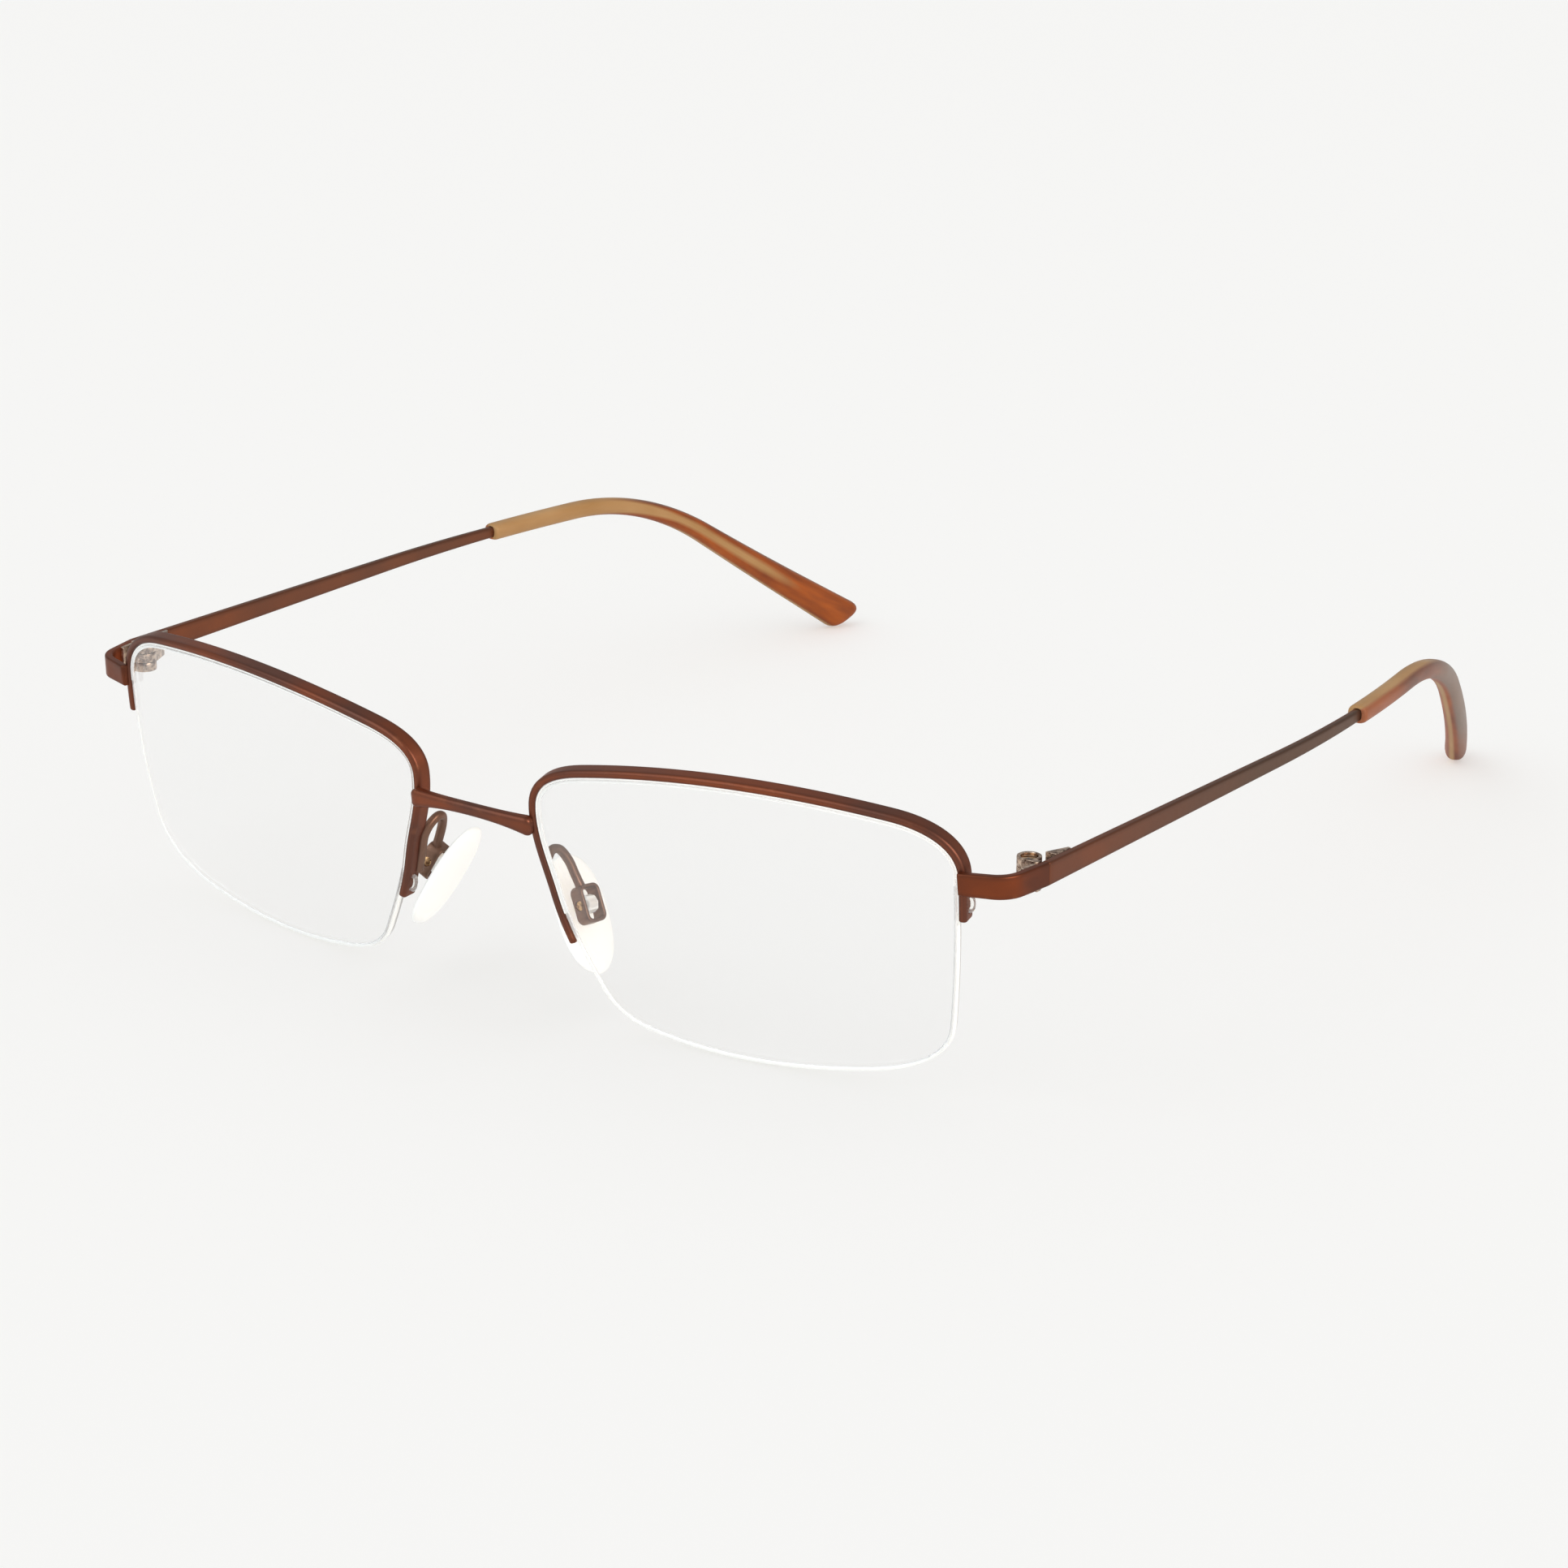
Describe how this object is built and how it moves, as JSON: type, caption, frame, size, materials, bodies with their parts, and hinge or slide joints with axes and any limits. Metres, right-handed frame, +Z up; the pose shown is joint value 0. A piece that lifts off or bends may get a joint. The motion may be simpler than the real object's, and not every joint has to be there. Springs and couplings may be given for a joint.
{
  "type": "half rim eyeglasses",
  "caption": "Half rim eyeglasses with a wrapped metal brow rim, nylon-held clear lenses, rocking silicone nose pads and folding temples with acetate tips.",
  "frame": {"origin": "under the middle of the part, on the plane that the lens bottoms and temple tips stand on", "axes": "+X to the wearer's left, +Y backwards along the temples, +Z up; the lenses face -Y"},
  "size_m": [0.1382, 0.1538, 0.0353],
  "materials": {
    "rim_metal": "satin copper brown paint",
    "hinge_metal": "satin brown-grey plating",
    "screw_metal": "satin",
    "lens": "clear, polished",
    "nylon": "clear white nylon",
    "silicone": "milky clear silicone",
    "pad_core": "clear polycarbonate",
    "acetate": "mottled amber acetate"
  },
  "bodies": {
    "front": {"rim_left": "rim_metal", "rim_right": "rim_metal", "bridge": "rim_metal", "endpiece_left": "rim_metal", "endpiece_right": "rim_metal", "lens_left": "lens", "lens_right": "lens", "liner_left": "nylon", "liner_right": "nylon", "nylon_cord_left": "nylon", "nylon_cord_right": "nylon", "pad_arm_left": "hinge_metal", "pad_arm_right": "hinge_metal", "pad_screw_left": "screw_metal", "pad_screw_right": "screw_metal", "hinge_front_left": "hinge_metal", "hinge_front_right": "hinge_metal", "hinge_screw_left": "screw_metal", "hinge_screw_right": "screw_metal"},
    "temple_left": {"temple_left": "rim_metal", "temple_tip_left": "acetate", "hinge_rear_left": "hinge_metal"},
    "temple_right": {"temple_right": "rim_metal", "temple_tip_right": "acetate", "hinge_rear_right": "hinge_metal"},
    "nose_pad_left": {"nose_pad_left": "silicone", "pad_core_left": "pad_core"},
    "nose_pad_right": {"nose_pad_right": "silicone", "pad_core_right": "pad_core"}
  },
  "joints": [
    {"name": "temple_left_fold", "type": "hinge", "parent": "front", "child": "temple_left", "pos_m": [0.06525, -0.0597, 0.0269], "axis": [0, 0, 1], "range_deg": [0, 85]},
    {"name": "temple_right_fold", "type": "hinge", "parent": "front", "child": "temple_right", "pos_m": [-0.06525, -0.0597, 0.0269], "axis": [0, 0, -1], "range_deg": [0, 76]},
    {"name": "nose_pad_left_rock", "type": "hinge", "parent": "front", "child": "nose_pad_left", "pos_m": [0.01188, -0.06871, 0.01389], "axis": [0.1332, 0.9855, -0.1054], "range_deg": [-8, 8]},
    {"name": "nose_pad_right_rock", "type": "hinge", "parent": "front", "child": "nose_pad_right", "pos_m": [-0.01188, -0.06871, 0.01389], "axis": [-0.1332, 0.9855, -0.1054], "range_deg": [-8, 8]}
  ]
}
